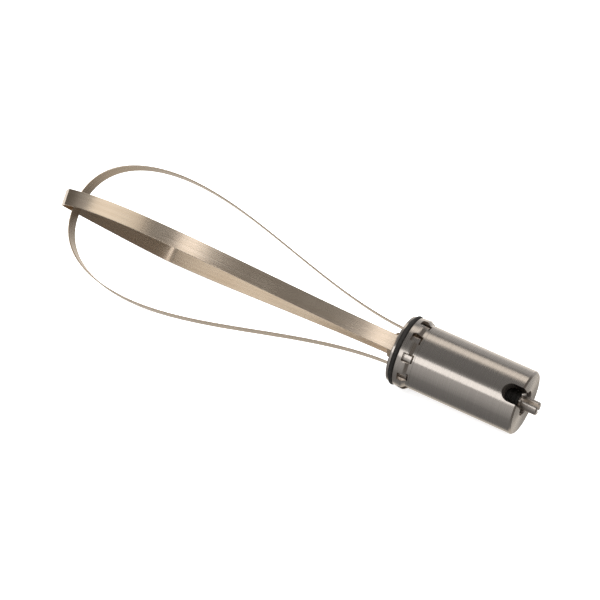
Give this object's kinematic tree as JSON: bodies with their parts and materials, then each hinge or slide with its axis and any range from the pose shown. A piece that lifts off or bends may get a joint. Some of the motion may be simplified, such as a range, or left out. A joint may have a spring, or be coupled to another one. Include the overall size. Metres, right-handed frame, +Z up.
{
  "type": "drill paint mixer",
  "caption": "Two-loop spring-strip paint whisk whose rotor turns on ball bearings in a round stainless barrel with a U-notch at the drive end.",
  "frame": {"origin": "on the surface it lies on, under the middle of its bounding box", "axes": "+Z up; +X to the drive end of the barrel, -X to the whisk's tip; the tool's axis is tilted 3.01 degrees about Y, tip up, because it lies on two band lobes and the barrel's rear rim"},
  "size_m": [0.3054, 0.062, 0.0623],
  "materials": {
    "brushed_stainless": "turned and fine-brushed stainless steel, satin",
    "spring_steel": "cold-rolled spring strip, brushed along its length, warm tint",
    "bearing_steel": "ground and polished steel, bright zinc on fasteners",
    "cage_brass": "machined brass",
    "black_rubber": "matt black nitrile rubber"
  },
  "bodies": {
    "housing": {"barrel": "brushed_stainless", "front_collar": "brushed_stainless", "front_outer_race": "bearing_steel", "garter_spring": "bearing_steel", "lip_ring": "brushed_stainless", "mouth_retaining_ring": "bearing_steel", "o_ring": "black_rubber", "outer_spacer_tube": "brushed_stainless", "rear_outer_race": "bearing_steel", "seal_case": "bearing_steel", "seal_lip": "black_rubber", "wave_washer": "bearing_steel"},
    "rotor": {"drive_shaft": "brushed_stainless", "shaft_boot": "black_rubber", "shaft_circlip": "bearing_steel", "rear_inner_race": "bearing_steel", "front_inner_race": "bearing_steel", "inner_spacer_sleeve": "brushed_stainless", "seal_sleeve": "brushed_stainless", "whisk_hub": "brushed_stainless", "hub_cross_pin": "brushed_stainless", "hub_lock_washer": "bearing_steel", "hub_nut": "bearing_steel", "outer_loop_band": "spring_steel", "inner_loop_band": "spring_steel", "leg_screw_1": "bearing_steel", "leg_screw_2": "bearing_steel", "leg_screw_3": "bearing_steel", "leg_screw_4": "bearing_steel"},
    "rear_cage": {"rear_ball_cage": "cage_brass", "rear_ball_1": "bearing_steel", "rear_ball_2": "bearing_steel", "rear_ball_3": "bearing_steel", "rear_ball_4": "bearing_steel", "rear_ball_5": "bearing_steel", "rear_ball_6": "bearing_steel", "rear_ball_7": "bearing_steel"},
    "front_cage": {"front_ball_cage": "cage_brass", "front_ball_1": "bearing_steel", "front_ball_2": "bearing_steel", "front_ball_3": "bearing_steel", "front_ball_4": "bearing_steel", "front_ball_5": "bearing_steel", "front_ball_6": "bearing_steel", "front_ball_7": "bearing_steel"}
  },
  "joints": [
    {"name": "rotor_spin", "type": "hinge", "parent": "housing", "child": "rotor", "pos_m": [0.07461, 0, 0.0226], "axis": [-0.9986, 0, 0.0525], "continuous": true},
    {"name": "rear_cage_roll", "type": "hinge", "parent": "housing", "child": "rear_cage", "pos_m": [0.12524, 0, 0.01994], "axis": [-0.9986, 0, 0.0525], "continuous": true},
    {"name": "front_cage_roll", "type": "hinge", "parent": "housing", "child": "front_cage", "pos_m": [0.09468, 0, 0.02154], "axis": [-0.9986, 0, 0.0525], "continuous": true}
  ],
  "couplings": [
    {"joint": "rear_cage_roll", "follows": "rotor_spin", "ratio": 0.375},
    {"joint": "front_cage_roll", "follows": "rotor_spin", "ratio": 0.375}
  ]
}
